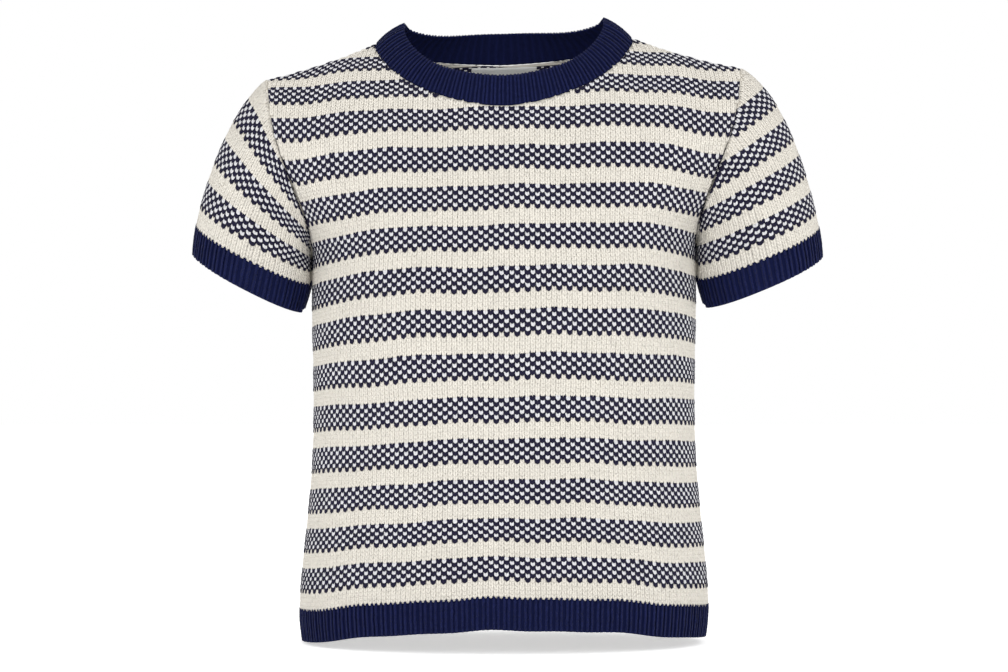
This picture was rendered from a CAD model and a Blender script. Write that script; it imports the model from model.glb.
# %% [markdown]
# # A striped jumper, knitted stitch by stitch
#
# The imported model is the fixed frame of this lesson: plain walls of cloth in the shape that
# the garment has when it is filled out. Here each wall gets its knitting. Every stitch is a
# V of two legs of yarn, so the stitches are modelled flat, as they come off the machine, and
# then laid over the worn form, much as the maker's panels are.

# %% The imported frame
import math
from collections import namedtuple

import bmesh
import bpy
import numpy as np
from mathutils import Matrix, Vector


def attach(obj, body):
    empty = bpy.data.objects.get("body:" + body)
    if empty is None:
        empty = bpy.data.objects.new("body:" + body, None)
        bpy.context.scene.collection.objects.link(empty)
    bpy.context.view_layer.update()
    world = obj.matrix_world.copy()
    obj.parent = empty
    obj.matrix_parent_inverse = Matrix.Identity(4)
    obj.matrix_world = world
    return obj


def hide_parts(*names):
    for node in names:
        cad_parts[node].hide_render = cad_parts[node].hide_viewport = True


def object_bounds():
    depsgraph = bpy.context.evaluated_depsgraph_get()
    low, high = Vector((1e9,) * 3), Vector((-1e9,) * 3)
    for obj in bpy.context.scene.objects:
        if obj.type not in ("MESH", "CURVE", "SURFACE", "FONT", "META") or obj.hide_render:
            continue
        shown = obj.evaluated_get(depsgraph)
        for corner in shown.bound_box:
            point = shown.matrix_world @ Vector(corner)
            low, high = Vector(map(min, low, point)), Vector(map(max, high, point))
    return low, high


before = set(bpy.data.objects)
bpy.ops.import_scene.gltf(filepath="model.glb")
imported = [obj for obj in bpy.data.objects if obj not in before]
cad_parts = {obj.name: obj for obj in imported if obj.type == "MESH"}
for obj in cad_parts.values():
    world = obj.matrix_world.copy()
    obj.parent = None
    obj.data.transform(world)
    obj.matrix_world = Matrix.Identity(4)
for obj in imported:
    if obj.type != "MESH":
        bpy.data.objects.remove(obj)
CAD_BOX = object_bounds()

MM = 0.001
print("nodes of the frame:", sorted(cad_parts))

# %% [markdown]
# ## The camera
#
# The garment was photographed level from the front, with a long lens. One pixel is 0.8 mm
# at the middle of the garment. The camera is made first, because everything after it is
# judged through it.

# %% The camera
PIXEL = 0.8
IMAGE_WIDTH = 1008
IMAGE_HEIGHT = 672
NECK_LEVEL_IN_IMAGE = 45
CAMERA_DISTANCE = 2500.0
SENSOR = 36.0

camera_data = bpy.data.cameras.new("camera")
camera_data.sensor_width = SENSOR
camera_data.lens = SENSOR * CAMERA_DISTANCE / (IMAGE_WIDTH * PIXEL)
camera_data.clip_end = 20
camera = bpy.data.objects.new("camera", camera_data)
camera_height = (NECK_LEVEL_IN_IMAGE - IMAGE_HEIGHT / 2) * PIXEL
camera.location = (0, -CAMERA_DISTANCE * MM, camera_height * MM)
camera.rotation_euler = (math.radians(90), 0, 0)
bpy.context.scene.collection.objects.link(camera)
bpy.context.scene.camera = camera
print(f"lens {camera_data.lens:.0f} mm")

# %% [markdown]
# ## Shader maths as sentences
#
# Cloth finishes are sums and products of masks. A small class wraps one socket, so that an
# expression on masks adds the nodes it needs, and the materials below read as formulas.


# %% Sockets that can be added and multiplied
class Wire:
    """One output socket. Operators on it add Math nodes."""

    def __init__(self, finish, socket):
        self.finish = finish
        self.socket = socket

    def maths(self, operation, *others):
        inputs = dict(enumerate((self, *others)))
        return self.finish.node("ShaderNodeMath", {"operation": operation}, inputs)

    def __add__(self, other):
        return self.maths("ADD", other)

    def __sub__(self, other):
        return self.maths("SUBTRACT", other)

    def __mul__(self, other):
        return self.maths("MULTIPLY", other)

    def __mod__(self, other):
        return self.maths("FLOORED_MODULO", other)

    def __gt__(self, other):
        return self.maths("GREATER_THAN", other)

    def __lt__(self, other):
        return self.maths("LESS_THAN", other)

    def floor(self):
        return self.maths("FLOOR")

    def size(self):
        return self.maths("ABSOLUTE")

    def sine(self):
        return self.maths("SINE")


class Finish:
    """A material with a Principled shader, whose nodes come from one method."""

    def __init__(self, name, **constants):
        self.material = bpy.data.materials.new(name)
        self.material.use_nodes = True
        self.tree = self.material.node_tree
        self.shader = self.tree.nodes["Principled BSDF"]
        for label, value in constants.items():
            self.shader.inputs[label.replace("_", " ").title()].default_value = value

    def node(self, kind, settings=None, inputs=None, output=0):
        """Adds a node, sets it up, then fills its sockets with values or wires."""
        made = self.tree.nodes.new(kind)
        for name, value in (settings or {}).items():
            setattr(made, name, value)
        for place, value in (inputs or {}).items():
            if isinstance(value, Wire):
                self.tree.links.new(value.socket, made.inputs[place])
            else:
                made.inputs[place].default_value = value
        return Wire(self, made.outputs[output])

    def feed(self, label, wire):
        self.tree.links.new(wire.socket, self.shader.inputs[label])

    def noise(self, scale, detail=2.0):
        """Cloudy variation from 0 to 1. scale is in clouds a metre."""
        place = self.node("ShaderNodeTexCoord", output="Object")
        inputs = {"Vector": place, "Scale": scale, "Detail": detail}
        return self.node("ShaderNodeTexNoise", None, inputs)

    def surface_map(self):
        """Column and row of the knitting at this point, from the piece's UV map."""
        place = self.node("ShaderNodeUVMap", {"uv_map": KNIT_MAP})
        split = self.node("ShaderNodeSeparateXYZ", None, {0: place})
        return split, Wire(self, split.socket.node.outputs[1])

    def blend(self, first, second, share):
        """One colour into another by a share from 0 to 1."""
        settings = {"data_type": "RGBA", "clamp_factor": True}
        return self.node("ShaderNodeMix", settings, {0: share, 6: first, 7: second}, output=2)

    def bump(self, height, strength, distance):
        inputs = {"Height": height, "Strength": strength, "Distance": distance}
        self.feed("Normal", self.node("ShaderNodeBump", None, inputs))


KNIT_MAP = "knit"

# %% [markdown]
# ## The worn form
#
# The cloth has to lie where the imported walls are, so the same sizes are needed again: a
# table of sections from the hem up, the armhole seam, the neckline and the shoulder line.
# A level section of the body is a superellipse, a little squarer than an ellipse, and it
# closes over the shoulders with a quarter round.

# %% Sizes of the worn form
KNIT_WALL = 2.4
SEAM_GAP = 0.3

Section = namedtuple("Section", "height half_width front_depth back_depth lean")
BODY = (
    Section(-472, 162.6, 107, 95, 0.007),
    Section(-440, 162.0, 108, 93, 0.011),
    Section(-410, 159.6, 108, 90, 0.014),
    Section(-370, 155.4, 109, 86, 0.017),
    Section(-330, 152.2, 111, 84, 0.019),
    Section(-290, 151.0, 114, 86, 0.020),
    Section(-250, 151.4, 118, 91, 0.020),
    Section(-215, 152.2, 120, 96, 0.021),
    Section(-190, 152.2, 118, 99, 0.023),
    Section(-165, 152.0, 114, 100, 0.026),
    Section(-150, 156.5, 111, 100, 0.027),
    Section(-130, 168.0, 106, 99, 0.027),
    Section(-105, 187.0, 98, 95, 0.026),
    Section(-75, 204.0, 88, 88, 0.025),
    Section(-43, 212.0, 77, 78, 0.024),
    Section(-15, 215.0, 69, 69, 0.024),
    Section(10, 215.0, 62, 62, 0.020),
)
SECTION_POWER = 2.15

NECK_HALF_WIDTH = 102.4
NECK_POINT_HEIGHT = 2.5
SHOULDER_TIP = 188.5
SHOULDER_TIP_HEIGHT = -23.5
SHOULDER_SAG = 2.4
SHOULDER_ROUNDING = 75.0
NECK_DROP = {"front": 57.0, "back": 14.0}
NECK_POWER = 1.75

ArmholePoint = namedtuple("ArmholePoint", "height half_width")
ARMHOLE = (
    ArmholePoint(-165.0, 152.0),
    ArmholePoint(-150.0, 153.2),
    ArmholePoint(-134.0, 156.5),
    ArmholePoint(-121.0, 161.5),
    ArmholePoint(-97.0, 170.5),
    ArmholePoint(-79.0, 177.5),
    ArmholePoint(-52.0, 184.5),
    ArmholePoint(SHOULDER_TIP_HEIGHT, SHOULDER_TIP),
)
UNDERARM_HEIGHT = ARMHOLE[0].height
FACING = {"front": -1.0, "back": 1.0}


# %% Curves through the tables
def smooth_curve(xs, ys):
    """A curve through the points that never swings past them, as a function of x."""
    xs = np.array(xs, float)
    ys = np.array(ys, float)
    step = np.diff(xs)
    slope = np.diff(ys) / step
    tangent = np.zeros(len(xs))
    tangent[0] = slope[0]
    tangent[-1] = slope[-1]
    for i in range(1, len(xs) - 1):
        if slope[i - 1] * slope[i] > 0:
            tangent[i] = 2 * slope[i - 1] * slope[i] / (slope[i - 1] + slope[i])

    def value(x):
        x = np.clip(x, xs[0], xs[-1])
        i = np.clip(np.searchsorted(xs, x) - 1, 0, len(step) - 1)
        t = (x - xs[i]) / step[i]
        held = (2 * t**3 - 3 * t**2 + 1) * ys[i] + (3 * t**2 - 2 * t**3) * ys[i + 1]
        turned = (t**3 - 2 * t**2 + t) * tangent[i] + (t**3 - t**2) * tangent[i + 1]
        return held + turned * step[i]

    return value


def column_of(rows, name):
    return smooth_curve([row.height for row in rows], [getattr(row, name) for row in rows])


half_width = column_of(BODY, "half_width")
lean_at = column_of(BODY, "lean")
armhole_half_width = column_of(ARMHOLE, "half_width")
depth_of = {"front": column_of(BODY, "front_depth"), "back": column_of(BODY, "back_depth")}


def ramp(value, start, end):
    """0 before start, 1 after end, and a smooth rise between them."""
    t = np.clip((value - start) / (end - start), 0, 1)
    return t * t * (3 - 2 * t)


def unit(vectors):
    vectors = np.asarray(vectors, float)
    return vectors / np.maximum(np.linalg.norm(vectors, axis=-1, keepdims=True), 1e-12)


# %% The form itself
def shoulder_height(x):
    share = (np.abs(x) - NECK_HALF_WIDTH) / (SHOULDER_TIP - NECK_HALF_WIDTH)
    sag = SHOULDER_SAG * 4 * np.clip(share * (1 - share), 0, 1)
    return NECK_POINT_HEIGHT + (SHOULDER_TIP_HEIGHT - NECK_POINT_HEIGHT) * share - sag


def neckline_height(x, side):
    share = np.clip(np.abs(x) / NECK_HALF_WIDTH, 0, 1)
    dip = (1 - share**NECK_POWER) ** (1 / NECK_POWER)
    return NECK_POINT_HEIGHT - NECK_DROP[side] * dip


def form(x, z, side):
    """The middle of the cloth at x and height z, before the lean."""
    across = np.clip(np.abs(x) / half_width(z), 0, 1)
    bulge = (1 - across**SECTION_POWER) ** (1 / SECTION_POWER)
    below = np.clip((shoulder_height(x) - z) / SHOULDER_ROUNDING, 0, 1)
    over_shoulder = np.sqrt(1 - (1 - below) ** 2)
    y = FACING[side] * (depth_of[side](z) * bulge * over_shoulder + SEAM_GAP / 2)
    return np.stack([x + 0 * y, y, z + 0 * y], axis=-1)


def leaned(points):
    """The slight drop to one side that the whole garment has."""
    moved = np.array(points, float)
    moved[..., 2] += lean_at(moved[..., 2]) * moved[..., 0]
    return moved


# %% [markdown]
# ## Columns and rows
#
# Knitting has its own coordinates. A column of stitches is a wale and a row is a course.
# Counted from the middle of the panel and from the hem, they say where each stitch is, and
# the stripes run along the rows however the cloth curves. A drape is a grid of points of
# the worn cloth, two for each column and each row, with the way out of the cloth at each.


# %% A drape says where any column and row lies
class Drape:
    """Worn cloth, as points and outward directions over its columns and rows."""

    def __init__(self, points, outward, first_column, first_row, step, closed=False):
        self.points = points
        self.outward = outward
        self.first = (first_column, first_row)
        self.step = step
        self.closed = closed

    def place(self, columns, rows, heights=0.0):
        """Points at these columns and rows, raised out of the cloth by heights."""
        across = (np.asarray(columns, float) - self.first[0]) / self.step
        up = (np.asarray(rows, float) - self.first[1]) / self.step
        count_up, count_across = self.points.shape[:2]
        if self.closed:
            across = across % count_across
        else:
            across = np.clip(across, 0, count_across - 1.001)
        up = np.clip(up, 0, count_up - 1.001)
        i = up.astype(int)
        j = across.astype(int)
        k = (j + 1) % count_across
        u = (up - i)[..., None]
        v = (across - j)[..., None]

        def between(grid):
            low = grid[i, j] * (1 - v) + grid[i, k] * v
            high = grid[i + 1, j] * (1 - v) + grid[i + 1, k] * v
            return low * (1 - u) + high * u

        return between(self.points) + unit(between(self.outward)) * np.asarray(heights)[..., None]


def outward_of(points, facing, closed=False):
    """The way out of the cloth at each point of a grid, rows up and columns across."""
    if closed:
        wrapped = np.concatenate([points[:, -1:], points, points[:, :1]], axis=1)
        across = np.gradient(wrapped, axis=1)[:, 1:-1]
    else:
        across = np.gradient(points, axis=1)
    return facing * unit(np.cross(np.gradient(points, axis=0), across))


# %% [markdown]
# ## The stripes
#
# The chart repeats every ten rows: four rows of cream, then six rows of navy and white
# stitches that change places at every stitch and every row, as on a chequerboard. The
# table gives the height of the middle of each chequered band at the centre front, and the
# rows between are spread evenly. Towards the sides the rows drop a little.

# %% Gauge and chart
HALF_COLUMNS = 54
ROWS_A_STRIPE = 10
CREAM_ROWS = 4
BAND_MIDDLE = CREAM_ROWS + (ROWS_A_STRIPE - CREAM_ROWS) / 2
BAND_HEIGHTS = (
    *(-410.4, -380.5, -351, -319.9, -288.1, -255.3, -221.8),
    *(-189, -156.8, -125.9, -95.1, -63.7, -38.5, -17.4),
)
HEM_SEAM_HEIGHT = -432.5
PANEL_ROWS = 146
GRID_STEP = 0.5
REACH_STEPS = 6
DROP_WIDTH = 155.0

band_rows = [BAND_MIDDLE + ROWS_A_STRIPE * k for k in range(len(BAND_HEIGHTS))]
row_height = smooth_curve(
    [-4, 0, *band_rows, 141, 149], [-445, HEM_SEAM_HEIGHT, *BAND_HEIGHTS, -10.2, 5.0]
)


def side_drop(height):
    """How far a row at this height has dropped by the time it reaches the side."""
    return 6.0 - 0.0375 * (height + 233.0)


def row_drop(middle, x):
    """How far a row has dropped by x. middle is its height at the centre of the panel."""
    share = (x / DROP_WIDTH) ** 2
    near = np.clip(share, 0, 1)
    hang = ramp(middle, -290, -190) * (1 - 0.45 * ramp(middle, -165, -120))
    hang = hang * (1 - 0.6 * ramp(middle, -90, -30))
    sag = hang * near * (16.0 * near - 9.0)
    right_tip = 5.0 * ramp(x, 125, 180) * ramp(middle, -130, -90)
    left_tip = 4.5 * ramp(-x, 130, 180) * ramp(middle, -36, -17)
    waver = 0.55 * np.sin(x / 15.0 + middle / 60.0) + 0.35 * np.sin(x / 8.3 - middle / 35.0)
    return side_drop(middle) * share + sag + (right_tip + left_tip) + waver


def row_line(row, x):
    """Height of a row at x."""
    middle = row_height(row)
    return middle - row_drop(middle, x)


def panel_drape(side):
    """The drape of the front or the back, with its columns spread along each row."""
    rows = np.arange(-2, PANEL_ROWS + 2.01, GRID_STEP)
    columns = np.arange(-HALF_COLUMNS - 4, HALF_COLUMNS + 4.01, GRID_STEP)
    turn = np.sin(np.linspace(0, math.pi / 2, 300))
    grid = np.empty((len(rows), len(columns), 3))
    pitch = None
    for i, row in enumerate(rows):
        reach = half_width(UNDERARM_HEIGHT)
        for _ in range(REACH_STEPS):
            reach = half_width(row_line(row, reach))
        x = reach * turn
        line = form(x, row_line(row, x), side)
        run = np.concatenate([[0], np.cumsum(np.linalg.norm(np.diff(line, axis=0), axis=1))])
        if row_line(row, reach) < UNDERARM_HEIGHT or pitch is None:
            pitch = run[-1] / HALF_COLUMNS
        at = np.interp(np.abs(columns) * pitch, run, x) * np.sign(columns)
        grid[i] = form(at, row_line(row, at), side)
    placed = leaned(grid)
    return Drape(placed, outward_of(placed, FACING[side]), columns[0], rows[0], GRID_STEP), grid


drapes = {}
unleaned = {}
for side in ("front", "back"):
    drapes[side], unleaned[side] = panel_drape(side)
middle_columns = drapes["front"].place([0, 1], [60, 60])
print(f"a column is {np.linalg.norm(middle_columns[1] - middle_columns[0]):.2f} mm")

# %% [markdown]
# ## One leg of a stitch
#
# Half a stitch is a short, plump length of yarn that leans away from the middle of its
# column. It starts as a coarse ball, is stretched to a spindle, leant over, and tipped so
# that its top goes in under the row above. It has a dozen faces, because the garment has
# more than fifty thousand of them, and smooth shading rounds it.

# %% The yarn leg and a block of flat knitting
COLUMN_WIDTH = 4.0
ROW_HEIGHT = 3.2
VERTICES_A_STITCH = 16

Leg = namedtuple("Leg", "length width thickness lean spread tip")
PLAIN_LEG = Leg(5.3, 2.73, 1.86, 17.0, 0.245, 7.0)
RIB_LEG = Leg(8.6, 2.7, 1.7, 3.0, 0.44, 2.0)


def stitch_mesh(name, leg):
    """One stitch, flat on XY, with its column 0 to 1 and its row 0 to 1, in stitch units."""
    build = bmesh.new()
    for hand in (-1, 1):
        made = bmesh.ops.create_uvsphere(build, u_segments=3, v_segments=3, radius=0.5)["verts"]
        lay_down = Matrix.Rotation(math.radians(-90), 4, "X")
        stretch = Matrix.Diagonal((leg.width, leg.length, leg.thickness, 1))
        tip = Matrix.Rotation(math.radians(-leg.tip), 4, "X")
        lean = Matrix.Rotation(math.radians(-hand * leg.lean), 4, "Z")
        across = COLUMN_WIDTH * (0.5 + hand * leg.spread)
        move = Matrix.Translation((across, ROW_HEIGHT * 0.42, 0))
        bmesh.ops.transform(build, matrix=move @ lean @ tip @ stretch @ lay_down, verts=made)
    mesh = bpy.data.meshes.new(name)
    build.to_mesh(mesh)
    build.free()
    mesh.shade_smooth()
    return mesh


def flat_knit(columns, rows, column_step=1, leg=PLAIN_LEG):
    """A flat block of stitches, made by repeating one across and then up."""
    block = bpy.data.objects.new("flat", stitch_mesh("flat", leg))
    bpy.context.scene.collection.objects.link(block)
    steps = ((columns, (COLUMN_WIDTH * column_step, 0, 0)), (rows, (0, ROW_HEIGHT, 0)))
    for count, offset in steps:
        array = block.modifiers.new("repeat", "ARRAY")
        array.count = count
        array.use_relative_offset = False
        array.use_constant_offset = True
        array.constant_offset_displace = offset
    bpy.context.view_layer.update()
    seen = block.evaluated_get(bpy.context.evaluated_depsgraph_get())
    mesh = bpy.data.meshes.new_from_object(seen)
    source = block.data
    bpy.data.objects.remove(block)
    bpy.data.meshes.remove(source)
    return mesh


def coordinates(mesh):
    flat = np.empty(len(mesh.vertices) * 3, np.float32)
    mesh.vertices.foreach_get("co", flat)
    return flat.reshape(-1, 3).astype(float)


# %% [markdown]
# ## From the flat block to the worn cloth
#
# A block is laid on its drape by turning each point's place in it into a column, a row and
# a height out of the cloth. Hand and machine knitting are never quite even, so every stitch
# is moved a little, from a seeded table. Stitches of one yarn make one piece: the others
# are deleted from a copy of the block.

# %% Laying the stitches
WOBBLE = 0.022
LEG_HEIGHT = 0.62

Yarn = namedtuple("Yarn", "across along rise lift flare")
PLUMPNESS = {
    "cream": Yarn(1.02, 1.30, 0.80, -0.10, 0.00),
    "white": Yarn(0.91, 1.04, 1.00, -0.03, 0.13),
    "navy": Yarn(1.10, 1.10, 1.05, 0.07, 0.03),
    "rib": Yarn(1.00, 1.00, 1.00, 0.00, 0.00),
    "": Yarn(1.00, 1.00, 1.00, 0.00, 0.00),
}


def finish_piece(name, mesh, finish, slot, *nodes):
    """An object from a mesh, with its material, riding on the body in place of its nodes."""
    mesh.name = name
    mesh.materials.clear()
    mesh.materials.append(finish)
    piece = bpy.data.objects.new(name, mesh)
    bpy.context.scene.collection.objects.link(piece)
    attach(piece, "root")
    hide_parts(*nodes)
    print(f"{name}: {len(mesh.polygons)} faces")
    return piece


def keep_only(mesh, keep):
    """Deletes every vertex that isn't kept, with its faces."""
    build = bmesh.new()
    build.from_mesh(mesh)
    build.verts.ensure_lookup_table()
    gone = [build.verts[i] for i in np.flatnonzero(~keep)]
    bmesh.ops.delete(build, geom=gone, context="VERTS")
    bmesh.ops.triangulate(build, faces=build.faces)
    build.to_mesh(mesh)
    build.free()
    mesh.shade_smooth()
    return mesh


def knit_pieces(block, drape, first, chart, raised, seed):
    """Meshes of the worn stitches, one for each yarn that the chart names.

    chart gives each stitch's yarn, or "" for none, from its column and row, and raised
    gives the height of the cloth under it.
    """
    flat = coordinates(block)
    per_stitch = VERTICES_A_STITCH
    count = len(flat) // per_stitch
    middle = flat.reshape(count, per_stitch, 3).mean(1)
    column = np.floor(middle[:, 0] / COLUMN_WIDTH).astype(int) + first[0]
    row = np.floor(middle[:, 1] / ROW_HEIGHT + 0.08).astype(int) + first[1]
    yarn = chart(column, row)
    plump = np.array([PLUMPNESS[name] for name in yarn])
    stitches = flat.reshape(count, per_stitch, 3) - middle[:, None]
    hand = np.repeat((-1.0, 1.0), per_stitch // 2)
    stitches[..., 0] += stitches[..., 1] * hand * plump[:, 4:]
    flat = (middle[:, None] + stitches * plump[:, None, :3]).reshape(-1, 3)
    flat[:, 2] += np.repeat(plump[:, 3], per_stitch)
    shift = np.random.default_rng(seed).normal(0, WOBBLE, (count, 3))
    shift = np.repeat(np.clip(shift, -0.09, 0.09), per_stitch, axis=0)
    columns = flat[:, 0] / COLUMN_WIDTH + first[0] + shift[:, 0]
    rows = flat[:, 1] / ROW_HEIGHT + first[1] + shift[:, 1]
    heights = flat[:, 2] + LEG_HEIGHT + shift[:, 2] * 2 + raised(columns)
    worn = drape.place(columns, rows, heights) * MM
    meshes = {}
    for name in sorted(set(yarn) - {""}):
        copy = block.copy()
        copy.vertices.foreach_set("co", worn.astype(np.float32).ravel())
        meshes[name] = keep_only(copy, np.repeat(yarn == name, per_stitch))
    return meshes


def stripe_chart(column, row):
    """The yarn of a stitch: cream rows, then navy and white by turns, cream in the first."""
    in_stripe = row % ROWS_A_STRIPE
    light = np.where(in_stripe == CREAM_ROWS, "cream", "white")
    chequer = np.where((column + row) % 2 == 0, "navy", light)
    return np.where(in_stripe < CREAM_ROWS, "cream", chequer)


def plain(columns):
    return 0 * columns


# %% [markdown]
# ## Yarn
#
# The yarn is a soft cotton: matt, with a faint bloom at grazing angles, which is what sheen
# is for, and a slight unevenness of dye from stitch to stitch. The twist of the plies and
# the fuzz are finer than a millimetre, so they are bump. Varying values only ever reach the
# colour, the roughness and the normal.

# %% The yarn finishes
CREAM = (0.845, 0.800, 0.715, 1.0)
WHITE = (0.780, 0.780, 0.805, 1.0)
NAVY = (0.0165, 0.0152, 0.0400, 1.0)
RIB_NAVY = (0.0080, 0.0122, 0.0640, 1.0)


def yarn(name, colour, shade=0.86, sheen=0.2, shine=0.2):
    """A spun yarn of one dye, a little darker and lighter from stitch to stitch."""
    made = Finish(name, roughness=0.92, sheen_weight=sheen, sheen_roughness=0.45)
    made.shader.inputs["Specular IOR Level"].default_value = shine
    dark = (*(c * shade for c in colour[:3]), 1.0)
    light = (*(min(1.0, c * (2 - shade) ** 0.5) for c in colour[:3]), 1.0)
    clouds = made.noise(260.0, 1.0) * 0.7 + made.noise(35.0, 2.0) * 0.3
    share = (clouds - 0.3) * 2.5
    made.feed("Base Color", made.blend(dark, light, share))
    fuzz = made.noise(3200.0, 3.0)
    made.feed("Roughness", fuzz * 0.12 + 0.84)
    made.bump(fuzz + made.noise(1100.0, 1.0), 0.55, 0.0006)
    return made.material


finishes = {
    "cream": yarn("cream_yarn", CREAM, shade=0.93),
    "white": yarn("white_yarn", WHITE, shade=0.94),
    "navy": yarn("navy_yarn", NAVY, shade=0.75, sheen=0.02, shine=0.1),
    "rib": yarn("navy_rib_yarn", RIB_NAVY, shade=0.75, sheen=0.02, shine=0.1),
}
SLOT_OF = {"cream": "cream_knit", "white": "cream_knit", "navy": "cream_knit", "rib": "navy_rib"}

# %% [markdown]
# ## The cloth behind the stitches
#
# Between the legs, and on the inside, one sees the back of the knitting: rows of small
# purl arcs, and behind the chequered bands the strands of the yarn that isn't in use. A
# thin wall carries this. Its UV map holds columns and rows, so that its stripes are the
# same stripes, and the arcs are a bump of waves in those coordinates.


# %% The finish of the cloth behind
def knit_back(name, base, seam_shade=0.6):
    """The purl side of the cloth, with the stripes of the chart."""
    made = Finish(name, roughness=0.95)
    made.shader.inputs["Specular IOR Level"].default_value = 0.1
    column, row = made.surface_map()
    arcs = ((column * (2 * math.pi)).sine() * 0.25 + row * 2 * math.pi).sine() * 0.5 + 0.5
    shade = arcs * (1 - seam_shade) + seam_shade
    tone = made.noise(300.0, 2.0) * 0.3 + shade * 0.7
    dark = (*(c * 0.75 for c in base[:3]), 1.0)
    colour = made.blend(dark, base, tone)
    in_band = (row % ROWS_A_STRIPE) > CREAM_ROWS + 0.4
    light_stitch = ((column.floor() + row.floor()) % 2) > 0.5
    core = ((column % 1 - 0.5).size() < 0.3) * ((row % 1 - 0.5).size() < 0.3)
    chequer = made.blend(NAVY, made.blend(dark, WHITE, tone), light_stitch * core)
    colour = made.blend(colour, chequer, in_band)
    made.feed("Base Color", colour)
    made.bump(arcs + made.noise(1500.0, 2.0) * 0.4, 0.8, 0.0008)
    return made.material


def rib_back(name, base):
    """The cloth between the raised columns of a rib, ridged along the columns on both faces."""
    made = Finish(name, roughness=0.95)
    made.shader.inputs["Specular IOR Level"].default_value = 0.1
    column, _ = made.surface_map()
    ridge = (column * math.pi).sine() * 0.5 + 0.5
    dark = (*(c * 0.6 for c in base[:3]), 1.0)
    tone = ridge * 0.6 + made.noise(300.0, 2.0) * 0.5
    made.feed("Base Color", made.blend(dark, base, tone))
    made.bump(ridge * 2.0 + made.noise(1500.0, 2.0) * 0.4, 0.8, 0.0010)
    return made.material


finishes["back_of_stripes"] = knit_back("stripes_purl_side", (0.80, 0.76, 0.68, 1.0))
finishes["back_of_rib"] = rib_back("rib_purl_side", RIB_NAVY)


# %% A wall of cloth from a grid
def cloth_wall(name, points, uv, thickness, finish, slot, node, closed=False):
    """A grid laid on the points, with a UV map of columns and rows, thickened inwards."""
    if closed:
        points = np.concatenate([points, points[:, :1]], axis=1)
    rows, columns = points.shape[:2]
    build = bmesh.new()
    bmesh.ops.create_grid(build, x_segments=columns - 1, y_segments=rows - 1, size=1)
    layer = build.loops.layers.uv.new(KNIT_MAP)
    where = {}
    for vert in build.verts:
        i = round((vert.co.y + 1) / 2 * (rows - 1))
        j = round((vert.co.x + 1) / 2 * (columns - 1))
        where[vert] = (i, j)
        vert.co = points[i, j] * MM
    for face in build.faces:
        for loop in face.loops:
            loop[layer].uv = uv[where[loop.vert]]
    if closed:
        bmesh.ops.remove_doubles(build, verts=build.verts, dist=1e-6)
    mesh = bpy.data.meshes.new(name)
    build.to_mesh(mesh)
    build.free()
    mesh.shade_smooth()
    area = sum(face.area for face in mesh.polygons)
    spans = [np.linalg.norm(np.diff(points, axis=k), axis=2).sum(axis=k).max() for k in (1, 0)]
    print(f"{name}: {area:.4f} square metres, {spans[0]:.0f} x {spans[1]:.0f} mm")
    piece = finish_piece(name, mesh, finish, slot, node)
    wall = piece.modifiers.new("wall", "SOLIDIFY")
    wall.thickness = abs(thickness) * MM
    wall.offset = -1.0 if thickness > 0 else 1.0
    wall.use_even_offset = True
    return piece


# %% [markdown]
# ## Front and back
#
# Each panel is cut out of the stripes: below the underarm it keeps all its columns, above
# it the armhole takes them away one by one, and the neck and the shoulders end the rows.
# The wall behind follows those edges exactly, so its grid is fitted to the outline: its
# rows fan out from level at the underarm to the neck and shoulder line at the top.

# %% The outline of a panel
SIDE_ROWS = 34
ARMHOLE_ROWS = 26
HALF_NECK_COLUMNS = 18
HALF_SHOULDER_COLUMNS = 14
WALL_THICKNESS = 1.3
WALL_OUTSIDE = 0.15
EDGE_MARGIN = 1.2


def within_panel(x, z, side):
    """Whether a stitch with its middle at x and z belongs to the panel."""
    inside = z < shoulder_height(x) - EDGE_MARGIN
    inside &= (np.abs(x) > NECK_HALF_WIDTH) | (z < neckline_height(x, side) - EDGE_MARGIN)
    inside &= (z < UNDERARM_HEIGHT) | (np.abs(x) < armhole_half_width(z) - EDGE_MARGIN)
    return inside


def resample(points, count):
    run = np.concatenate([[0], np.cumsum(np.linalg.norm(np.diff(points, axis=0), axis=1))])
    at = np.linspace(0, run[-1], count)
    return np.stack([np.interp(at, run, points[:, k]) for k in range(points.shape[1])], axis=1)


def armhole_edge(side, rows):
    """x and height of the armhole seam, evenly from the underarm to the shoulder tip."""
    share = (1 - np.cos(np.linspace(0, math.pi, 240))) / 2
    z = UNDERARM_HEIGHT + share * (SHOULDER_TIP_HEIGHT - UNDERARM_HEIGHT)
    x = armhole_half_width(z)
    line = np.concatenate([form(x, z, side), x[:, None], z[:, None]], axis=1)
    run = np.concatenate([[0], np.cumsum(np.linalg.norm(np.diff(line[:, :3], axis=0), axis=1))])
    at = np.linspace(0, run[-1], rows + 1)
    return np.interp(at, run, x), np.interp(at, run, z)


def top_edge(side):
    """x and height of the panel's upper edge, from the middle of the neck outwards."""
    turn = np.linspace(0, math.pi / 2, 300)
    power = 2 / NECK_POWER
    curve = np.stack([np.sin(turn) ** power, -(np.cos(turn) ** power)], axis=1)
    neck = resample(curve * (NECK_HALF_WIDTH, NECK_DROP[side]), HALF_NECK_COLUMNS + 1)
    shoulder_x = np.linspace(NECK_HALF_WIDTH, SHOULDER_TIP, HALF_SHOULDER_COLUMNS + 1)[1:]
    x = np.concatenate([neck[:, 0], shoulder_x])
    z = np.concatenate([NECK_POINT_HEIGHT + neck[:, 1], shoulder_height(shoulder_x)])
    return x, z


HEM_SIDE_HEIGHT = -446.0
HEM_CENTRE_RISE = 13.5


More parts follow.
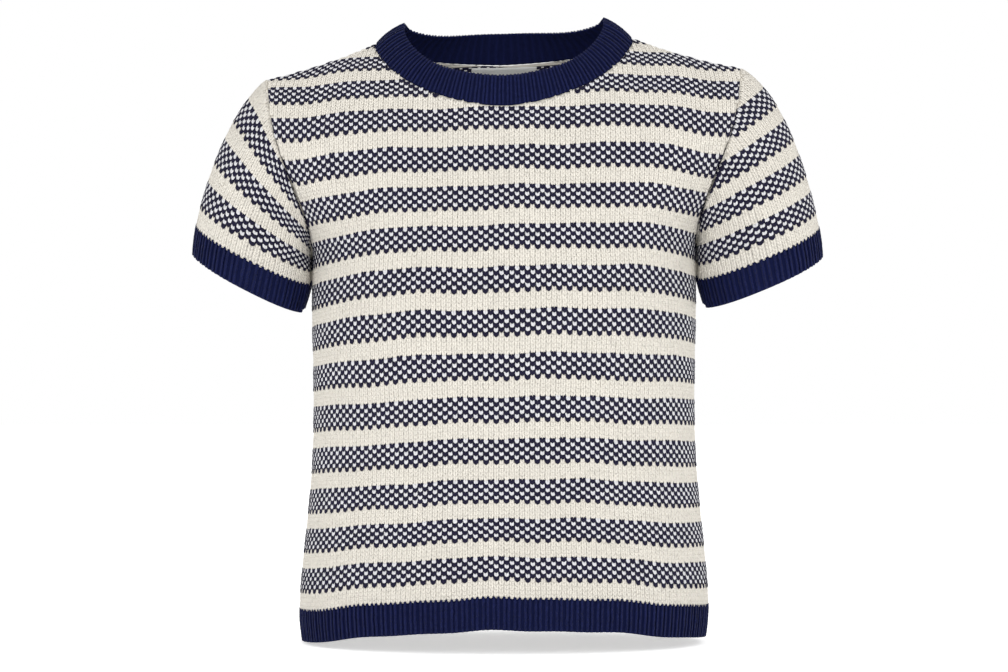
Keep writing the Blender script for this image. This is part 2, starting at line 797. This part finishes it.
def panel_grid(side):
    """x and height of a grid that fits the panel's outline, the right half of it."""
    arm_x, arm_z = armhole_edge(side, ARMHOLE_ROWS)
    side_z = np.linspace(HEM_SIDE_HEIGHT, UNDERARM_HEIGHT, SIDE_ROWS + 1)[:-1]
    edge_z = np.concatenate([side_z, arm_z])
    edge_x = np.concatenate([half_width(side_z), arm_x])
    top_x, top_z = top_edge(side)
    low_share = np.sin(np.linspace(0, math.pi / 2, len(top_x)))
    rise = HEM_CENTRE_RISE * (1 - ramp(edge_z, HEM_SIDE_HEIGHT, UNDERARM_HEIGHT))
    up = ramp(edge_z, UNDERARM_HEIGHT - 90, SHOULDER_TIP_HEIGHT)[:, None]
    share = low_share * (1 - up) + (top_x / SHOULDER_TIP) * up
    x = edge_x[:, None] * share
    z = edge_z[:, None] + up * (top_z - SHOULDER_TIP_HEIGHT) + rise[:, None] * (1 - low_share**2)
    return x, z


row_samples = np.arange(-4, 149, 0.25)
height_samples = row_height(row_samples)


def knit_coordinates(x, z, side):
    """Column and row of the knitting at x and z, before the lean."""
    middle = z
    for _ in range(8):
        middle = z + row_drop(middle, x)
    row = np.interp(middle, height_samples, row_samples)
    drape = drapes[side]
    grid_x = unleaned[side][..., 0]
    at = np.clip(np.round((row - drape.first[1]) / GRID_STEP).astype(int), 0, len(grid_x) - 1)
    columns = drape.first[0] + GRID_STEP * np.arange(grid_x.shape[1])
    across = np.array([np.interp(p, grid_x[k], columns) for p, k in zip(x.ravel(), at.ravel())])
    return np.stack([across.reshape(x.shape), row], axis=-1)


# %% Front and back, wall and stitches
def panel(side, seed):
    x, z = panel_grid(side)
    x = np.concatenate([-x[:, :0:-1], x], axis=1)
    z = np.concatenate([z[:, :0:-1], z], axis=1)
    middle = leaned(form(x, z, side))
    out = outward_of(middle, FACING[side])
    seam_rows = slice(0, SIDE_ROWS + 1)
    for edge in (0, -1):
        out[seam_rows, edge, 1] = 0
    out[-1, : HALF_SHOULDER_COLUMNS + 1, 1] = 0
    out[-1, -HALF_SHOULDER_COLUMNS - 1 :, 1] = 0
    outer = middle + unit(out) * WALL_OUTSIDE
    uv = knit_coordinates(x, z, side)
    turned = WALL_THICKNESS * (1 if side == "front" else -1)
    finish = finishes["back_of_stripes"]
    cloth_wall(f"{side}_cloth", outer, uv, turned, finish, "cream_knit", side)
    block = flat_knit(2 * HALF_COLUMNS, PANEL_ROWS)

    def chart(column, row):
        place = drapes[side].place(column + 0.5, row + 0.45)
        flat_z = place[:, 2] - lean_at(place[:, 2]) * place[:, 0]
        inside = within_panel(place[:, 0], flat_z, side)
        return np.where(inside, stripe_chart(column, row), "")

    meshes = knit_pieces(block, drapes[side], (-HALF_COLUMNS, 0), chart, plain, seed)
    for colour, mesh in meshes.items():
        finish_piece(f"{side}_{colour}_stitches", mesh, finishes[colour], SLOT_OF[colour], side)
    bpy.data.meshes.remove(block)
    return middle, out


panel_middle = {}
panel_out = {}
for side, seed in (("front", 11), ("back", 12)):
    panel_middle[side], panel_out[side] = panel(side, seed)

# %% [markdown]
# ## Sleeves
#
# A set-in sleeve is knitted from the cuff up, so its rows run parallel to the cuff and end
# where they meet the armhole: many on the top of the arm, few under it. Each column is a
# smooth curve from the armhole seam to the cuff, and the rows are counted along it.

# %% Sizes of the sleeves
Cuff = namedtuple("Cuff", "outer_x outer_height inner_x inner_height top_fall")
CUFFS = {
    "left": Cuff(-244.8, -142.5, -152.0, -189.0, 0.80),
    "right": Cuff(250.6, -144.5, 152.0, -185.0, 0.55),
}
CUFF_HALF_DEPTH = 47.0
CUFF_FRONT_DROOP = 8.0
CUFF_BACK_LIFT = 2.0
CUFF_RIB_DEPTH = 23.5
CUFF_TUCK = 1.8
CUFF_POWER = 2.25
SLEEVE_CLEARANCE = 1.6
CAP_SWELL = 112.0
UNDER_WAY = (0.10, 0.0, -0.99)
CUFF_WAY = (0.20, 0.0, -0.98)
SLEEVE_COLUMNS = 76
SLEEVE_ROWS = 52

Gauge = namedtuple("Gauge", "outer_row under_row closer_at_seam plain_from")
SLEEVE_GAUGE = {"left": Gauge(3.65, 2.53, 0.39, 34), "right": Gauge(3.02, 2.80, 0.10, 40)}


# %% The columns of a sleeve
def body_side_x(y, z):
    depth = np.where(y < 0, depth_of["front"](z), depth_of["back"](z))
    share = np.clip(np.abs(y) / depth, 0, 1)
    return half_width(z) * (1 - share**SECTION_POWER) ** (1 / SECTION_POWER)


def beside_body(ring, hand, gap):
    """The ring with no point nearer than gap to the side of the body below the underarm."""
    moved = ring.copy()
    z = ring[..., 2] - lean_at(ring[..., 2]) * ring[..., 0]
    least = body_side_x(ring[..., 1], np.minimum(z, UNDERARM_HEIGHT)) + gap
    reach = hand * ring[..., 0]
    moved[..., 0] = hand * np.where(z < UNDERARM_HEIGHT + 12, np.maximum(reach, least), reach)
    return moved


def butted(seam, out, seam_way, piece_way):
    """Where the sleeve starts beside the cut edge of the panel, just clear of it."""
    away = unit(np.cross(out, seam_way))
    flat = (piece_way * away).sum(1, keepdims=True)
    rise = (piece_way * out).sum(1, keepdims=True)
    size = np.maximum(np.hypot(flat, rise), 1e-9)
    flat = flat / size
    rise = np.abs(rise) / size
    ahead = seam + (away * flat + out * rise) * (SEAM_GAP + KNIT_WALL / 2 * rise)
    beside = seam + out * (SEAM_GAP + KNIT_WALL / 2 * (1 - flat))
    return np.where(flat > 0, ahead, beside)


def cuff_ring(which, turn):
    cuff = CUFFS[which]
    middle_x = (cuff.outer_x + cuff.inner_x) / 2
    middle_z = (cuff.outer_height + cuff.inner_height) / 2
    out = np.sign(np.cos(turn)) * np.abs(np.cos(turn)) ** (2 / CUFF_POWER)
    forward = np.sign(np.sin(turn)) * np.abs(np.sin(turn)) ** (2 / CUFF_POWER)
    fall = np.where(forward > 0, -CUFF_FRONT_DROOP, -CUFF_BACK_LIFT) * forward
    x = middle_x + out * (cuff.outer_x - middle_x)
    z = middle_z + out * (cuff.outer_height - middle_z) + fall
    return np.stack([x, -CUFF_HALF_DEPTH * forward, z], axis=1)


def sleeve_lines(which, steps=60):
    """Curves from the armhole to the cuff, one for each turn round the arm."""
    hand = -1.0 if which == "left" else 1.0
    edge = -1 if hand > 0 else 0
    rows = slice(SIDE_ROWS, None)
    fronts = [grid["front"][rows, edge][::-1] for grid in (panel_middle, panel_out)]
    backs = [grid["back"][rows, edge][::-1] for grid in (panel_middle, panel_out)]
    seam, out = (np.concatenate([a, b[-2:0:-1]]) for a, b in zip(fronts, backs))
    out = unit(out)
    seam[[0, ARMHOLE_ROWS], 1] = 0
    turn = np.linspace(0, 2 * math.pi, len(seam), endpoint=False)
    under = ((1 - np.cos(turn)) / 2)[:, None]
    mirrored = np.array((hand, 1, 1))
    top_way = unit((1, 0, -CUFFS[which].top_fall))
    way = unit((top_way * (1 - under) + np.array(UNDER_WAY) * under) * mirrored)
    seam_way = hand * unit(np.roll(seam, -1, axis=0) - np.roll(seam, 1, axis=0))
    start = butted(seam, out, seam_way, way)
    end = cuff_ring(which, turn)
    end_way = unit(np.array(CUFF_WAY) * mirrored)
    swell = np.linalg.norm(end - start, axis=1, keepdims=True) * (CAP_SWELL / 132)
    lines = []
    for t in np.linspace(0, 1, steps + 1):
        held = (2 * t**3 - 3 * t**2 + 1) * start + (3 * t**2 - 2 * t**3) * end
        turned = (t**3 - 2 * t**2 + t) * way * swell + (t**3 - t**2) * end_way * swell
        ring = held + turned
        if t > 0:
            gap = KNIT_WALL + SEAM_GAP + SLEEVE_CLEARANCE * ramp(t, 0, 0.6)
            ring = beside_body(ring, hand, gap)
        lines.append(ring)
    return np.array(lines), hand


def sleeve_drape(lines, hand, gauge):
    """The drape of a sleeve, and how many rows each of its columns has."""
    up = lines[::-1]
    run = np.zeros(up.shape[:2])
    run[1:] = np.cumsum(np.linalg.norm(np.diff(up, axis=0), axis=2), axis=0)
    turns = up.shape[1]
    around = np.arange(turns) / turns * 2 * math.pi
    under = (1 - np.cos(around)) / 2
    pitch = gauge.outer_row * (1 - under) + gauge.under_row * under
    rows_of = run / pitch * (1 + gauge.closer_at_seam * under * run / run[-1])
    columns = np.arange(0, SLEEVE_COLUMNS, GRID_STEP) / SLEEVE_COLUMNS * turns
    rows = np.arange(-1, SLEEVE_ROWS + 2.01, GRID_STEP)
    fine = np.empty((len(rows), turns, 3))
    for j in range(turns):
        at = np.where(rows < 0, rows * pitch[j], np.interp(rows, rows_of[:, j], run[:, j]))
        for k in range(3):
            fine[:, j, k] = np.interp(at, run[:, j], up[:, j, k])
        before = unit(up[0, j] - up[1, j])
        fine[at < 0, j] = up[0, j] - before * at[at < 0][:, None]
    i = columns.astype(int)
    v = (columns - i)[None, :, None]
    points = fine[:, i] * (1 - v) + fine[:, (i + 1) % turns] * v
    last_rows = np.append(rows_of[-1], rows_of[-1, 0])
    turn_columns = np.arange(turns + 1) / turns * SLEEVE_COLUMNS
    ends = np.interp(np.arange(SLEEVE_COLUMNS) + 0.5, turn_columns, last_rows)
    steep = outward_of(lines[::-1], hand, closed=True)
    outward = np.empty_like(fine)
    for j in range(turns):
        for k in range(3):
            outward[:, j, k] = np.interp(rows, rows_of[:, j], steep[:, j, k])
    outward = unit(outward[:, i] * (1 - v) + outward[:, (i + 1) % turns] * v)
    return Drape(points, outward, 0, rows[0], GRID_STEP, closed=True), ends, rows_of


# %% Sleeves, wall and stitches
def sleeve(which, seed):
    lines, hand = sleeve_lines(which)
    drape, ends, rows_of = sleeve_drape(lines, hand, SLEEVE_GAUGE[which])
    node = f"sleeve_{which}"
    wall_lines = lines[::3][::-1]
    out = outward_of(wall_lines, hand, closed=True)
    turns = lines.shape[1]
    across = np.arange(turns + 1) / turns * SLEEVE_COLUMNS
    heights = np.minimum(rows_of[::3], SLEEVE_GAUGE[which].plain_from + 0.3)
    heights = np.concatenate([heights, heights[:, :1]], axis=1)
    uv = np.stack([np.broadcast_to(across, heights.shape), heights], axis=-1)
    turned = -WALL_THICKNESS * hand
    outer = wall_lines + out * WALL_OUTSIDE
    finish = finishes["back_of_stripes"]
    cloth_wall(f"{node}_cloth", outer, uv, turned, finish, "cream_knit", node, closed=True)
    block = flat_knit(SLEEVE_COLUMNS, SLEEVE_ROWS)

    def chart(column, row):
        inside = row + 0.75 < ends[column % SLEEVE_COLUMNS]
        colour = np.where(row < SLEEVE_GAUGE[which].plain_from, stripe_chart(column, row), "cream")
        return np.where(inside, colour, "")

    for colour, mesh in knit_pieces(block, drape, (0, 0), chart, plain, seed).items():
        finish_piece(f"{node}_{colour}_stitches", mesh, finishes[colour], SLOT_OF[colour], node)
    bpy.data.meshes.remove(block)
    return drape, ends.max()


sleeve_drapes = {}
sleeve_rows = {}
for which, seed in (("left", 21), ("right", 22)):
    sleeve_drapes[which], sleeve_rows[which] = sleeve(which, seed)

# %% [markdown]
# ## Ribs
#
# One by one rib sets a raised column of stitches beside a sunk one. It draws in, so hems,
# cuffs and the neckband hug the wearer. A rib drape is a few rows long. Its wall rises and
# falls with the columns, and every other column carries stitches.

# %% Ribbed bands
RIB_RISE = 0.5
RIB_HALF = 0.5
RIB_SINK = 0.35
RIB_WALL = 1.1


def rib_height(columns):
    """How far the ribbed cloth stands out: a round ridge on the even columns."""
    wave = 0.5 + 0.5 * np.cos((columns - RIB_HALF) * math.pi)
    return RIB_RISE * wave**0.4


def rib_band(node, drape, first_column, columns, rows, seed, facing, closed=False):
    """The wall and the raised stitches of a ribbed band."""
    fine = np.arange(first_column, first_column + columns + (0 if closed else 0.01), 1 / 3)
    up = np.linspace(0, rows, 2 * rows + 1)
    across, along = np.meshgrid(fine, up)
    points = drape.place(across, along, rib_height(across) - RIB_SINK)
    if closed:
        across = np.concatenate([across, across[:, :1] + columns], axis=1)
        along = np.concatenate([along, along[:, :1]], axis=1)
    uv = np.stack([across, along], axis=-1)
    finish = finishes["back_of_rib"]
    cloth_wall(f"{node}_cloth", points, uv, RIB_WALL * facing, finish, "navy_rib", node, closed)
    block = flat_knit(columns // 2, rows, column_step=2, leg=RIB_LEG)
    meshes = knit_pieces(
        block, drape, (first_column, 0), lambda c, r: np.full(len(c), "rib"), rib_height, seed
    )
    finish_piece(f"{node}_stitches", meshes["rib"], finishes["rib"], "navy_rib", node)
    bpy.data.meshes.remove(block)


HEM_RIB_DEPTH = 26.0
HEM_TUCK = 2.2
HEM_ROWS = 8


def hem(side, seed):
    columns = np.arange(-HALF_COLUMNS, HALF_COLUMNS + 0.01, GRID_STEP)
    top = drapes[side].place(columns, np.zeros(len(columns)))
    out = drapes[side].place(columns, np.zeros(len(columns)), 1.0) - top
    for end in (0, -1):
        out[end, 1] = 0
    out = unit(out * (1, 1, 0))
    rows = np.arange(0, HEM_ROWS + 0.01, GRID_STEP)
    depth = (1 - rows / HEM_ROWS)[:, None, None]
    points = top - (0, 0, 1) * (SEAM_GAP + HEM_RIB_DEPTH * depth) - out * HEM_TUCK * depth**2
    outward = np.broadcast_to(out, points.shape).copy()
    drape = Drape(points, outward, columns[0], 0, GRID_STEP)
    facing = 1 if side == "front" else -1
    rib_band(f"hem_{side}", drape, -HALF_COLUMNS, 2 * HALF_COLUMNS, HEM_ROWS, seed, facing)


CUFF_ROWS = 7


def cuff(which, seed):
    hand = -1.0 if which == "left" else 1.0
    columns = np.arange(0, SLEEVE_COLUMNS, GRID_STEP)
    top = sleeve_drapes[which].place(columns, np.zeros(len(columns)))
    out = sleeve_drapes[which].place(columns, np.zeros(len(columns)), 1.0) - top
    way = unit(np.array(CUFF_WAY) * (hand, 1, 1))
    rows = np.arange(0, CUFF_ROWS + 0.01, GRID_STEP)
    depth = (1 - rows / CUFF_ROWS)[:, None, None]
    points = top + way * (SEAM_GAP + CUFF_RIB_DEPTH * depth)
    points = points - out * (1, 1, 0) * CUFF_TUCK * depth**2
    points = beside_body(points, hand, KNIT_WALL + RIB_RISE + SLEEVE_CLEARANCE)
    outward = np.broadcast_to(unit(out), points.shape).copy()
    drape = Drape(points, outward, 0, 0, GRID_STEP, closed=True)
    rib_band(f"cuff_{which}", drape, 0, SLEEVE_COLUMNS, CUFF_ROWS, seed, -hand, closed=True)


for number, side in enumerate(("front", "back")):
    hem(side, 31 + number)
for number, which in enumerate(("left", "right")):
    cuff(which, 41 + number)

# %% [markdown]
# ## Neckband
#
# The neckband is one ring of rib, picked up round the cut neck edge and finished at its
# free edge. It leans in to the neck, most of all over the shoulders, and bows a little.

# %% The neckband
NECKBAND_RISE = {"front": 24.0, "side": 16.0, "back": 25.0}
NECKBAND_LEAN = {"front": 9.0, "side": 22.5, "back": 8.0}
NECKBAND_ROLL = 1.6
NECK_COLUMNS = 150
NECK_ROWS = 8


def neckband_drape():
    half = HALF_NECK_COLUMNS
    centre = HALF_NECK_COLUMNS + HALF_SHOULDER_COLUMNS
    part = slice(centre - half, centre + half + 1)
    seam, out = (
        np.concatenate([grid["front"][-1, part], grid["back"][-1, part][-2:0:-1]])
        for grid in (panel_middle, panel_out)
    )
    seam[[0, 2 * half], 1] = 0
    turn = np.linspace(0, 2 * math.pi, len(seam), endpoint=False)
    sideways = np.abs(np.cos(turn))[:, None] ** 2
    to_front = (np.sin(turn) > 0)[:, None]
    rise = np.where(to_front, NECKBAND_RISE["front"], NECKBAND_RISE["back"])
    lean = np.where(to_front, NECKBAND_LEAN["front"], NECKBAND_LEAN["back"])
    rise = rise * (1 - sideways) + NECKBAND_RISE["side"] * sideways
    lean = lean * (1 - sideways) + NECKBAND_LEAN["side"] * sideways
    reach = -unit(seam * (1, 1, 0)) * lean + np.array((0, 0, 1.0)) * rise
    way = unit(reach)
    seam_way = unit(np.roll(seam, -1, axis=0) - np.roll(seam, 1, axis=0))
    base = butted(seam, unit(out), seam_way, way)
    face = unit(np.cross(seam_way, way))
    rows = np.arange(0, NECK_ROWS + 0.01, GRID_STEP)
    t = (rows / NECK_ROWS)[:, None, None]
    rings = base + reach * t + face * NECKBAND_ROLL * 4 * t * (1 - t)
    faces = unit(unit(out) * (1 - t) * 0.6 + face * (0.4 + t))
    closed = np.concatenate([rings, rings[:, :1]], axis=1)
    along = np.diff(closed[4], axis=0) * (1, 0.45, 1)
    run = np.concatenate([[0], np.cumsum(np.linalg.norm(along, axis=1))])
    at = np.arange(0, NECK_COLUMNS, GRID_STEP) / NECK_COLUMNS * run[-1]

    def spread(grid):
        grid = np.concatenate([grid, grid[:, :1]], axis=1)
        lines = [[np.interp(at, run, line[:, k]) for k in range(3)] for line in grid]
        return np.stack(lines).transpose(0, 2, 1)

    return Drape(spread(rings), unit(spread(faces)), 0, 0, GRID_STEP, closed=True)


rib_band("neckband", neckband_drape(), 0, NECK_COLUMNS, NECK_ROWS, 51, 1, closed=True)

# %% [markdown]
# ## The label
#
# A woven label is stitched inside the back neck. It is a flat tape of fine satin, folded
# under at its ends, and it stays plain here.

# %% The label
LABEL_WIDTH = 54.0
LABEL_HEIGHT = 16.0
LABEL_THICKNESS = 0.8
LABEL_TOP = -11.8
LABEL_CLEARANCE = 0.6


def label_finish():
    made = Finish("label_tape", roughness=0.45, sheen_weight=0.2)
    column, row = made.surface_map()
    threads = (column * 2 * math.pi * 2).sine() * (row * 2 * math.pi * 3).sine() * 0.5 + 0.5
    made.feed("Base Color", made.blend((0.76, 0.77, 0.75, 1), (0.88, 0.89, 0.87, 1), threads))
    made.feed("Roughness", threads * 0.2 + 0.35)
    made.bump(threads, 0.4, 0.0002)
    return made.material


def label():
    x = np.linspace(-LABEL_WIDTH / 2, LABEL_WIDTH / 2, 28)
    z = np.linspace(LABEL_TOP - LABEL_HEIGHT, LABEL_TOP, 9)
    across, height = np.meshgrid(x, z)
    points = leaned(form(across, height, "back"))
    inset = KNIT_WALL / 2 + SEAM_GAP + LABEL_CLEARANCE
    points = points - outward_of(points, 1.0) * inset
    uv = np.stack([across, height], axis=-1)
    finish = label_finish()
    cloth_wall("label_tape_piece", points, uv, -LABEL_THICKNESS, finish, "label_tape", "label")


label()

# %% [markdown]
# ## Cut sizes
#
# A knitted piece is cut by counting: so many stitches across and so many rows up, at the
# gauge of the fabric. The photograph gives 4.1 mm to a stitch and, as a mean over the
# stripes, 3.0 mm to a row. A sleeve is counted in its own rows. A shaped piece has the area
# of its stitches, and a ribbed band that of its columns by its depth. The label's length is
# a guess. The stitches go with the wall that carries them.


# %% [markdown]
# ## Floor, backdrop and light
#
# The garment stands on a pale floor in soft, even studio light. Large area lights to the
# left and the right of the camera fill it from both sides, and a weaker one above gives the
# stitches their shade.

# %% Floor and light
FLOOR_DROP = 3.0


def plain_floor():
    build = bmesh.new()
    bmesh.ops.create_grid(build, x_segments=1, y_segments=1, size=6.0)
    low = CAD_BOX[0][2] - FLOOR_DROP * MM
    bmesh.ops.translate(build, verts=build.verts, vec=(0, 0, low))
    mesh = bpy.data.meshes.new("floor")
    build.to_mesh(mesh)
    build.free()
    made = Finish("floor_paint", roughness=0.9, emission_color=(1, 1, 1, 1), emission_strength=0.5)
    tone = made.noise(3.0, 2.0)
    made.feed("Base Color", made.blend((0.90, 0.90, 0.90, 1), (0.93, 0.93, 0.93, 1), tone))
    mesh.materials.append(made.material)
    floor = bpy.data.objects.new("floor", mesh)
    bpy.context.scene.collection.objects.link(floor)


def area_light(name, place, aim, size, power):
    data = bpy.data.lights.new(name, "AREA")
    data.shape = "RECTANGLE"
    data.size, data.size_y = size
    data.energy = power
    lamp = bpy.data.objects.new(name, data)
    lamp.location = place
    way = np.array(aim) - np.array(place)
    lamp.rotation_euler = Vector(way).to_track_quat("-Z", "Y").to_euler()
    bpy.context.scene.collection.objects.link(lamp)


plain_floor()
MIDDLE = (0, 0, -0.23)
area_light("key", (-1.3, -2.2, 0.9), MIDDLE, (1.4, 1.4), 6.2)
area_light("fill", (1.5, -2.2, 0.5), MIDDLE, (1.4, 1.4), 7.0)
area_light("top", (0, -0.3, 1.9), MIDDLE, (1.6, 1.2), 2.3)

world = bpy.data.worlds.new("studio")
world.use_nodes = True
world.node_tree.nodes["Background"].inputs["Color"].default_value = (1, 1, 1, 1)
world.node_tree.nodes["Background"].inputs["Strength"].default_value = 1.0
bpy.context.scene.world = world
bpy.context.scene.view_settings.view_transform = "Standard"
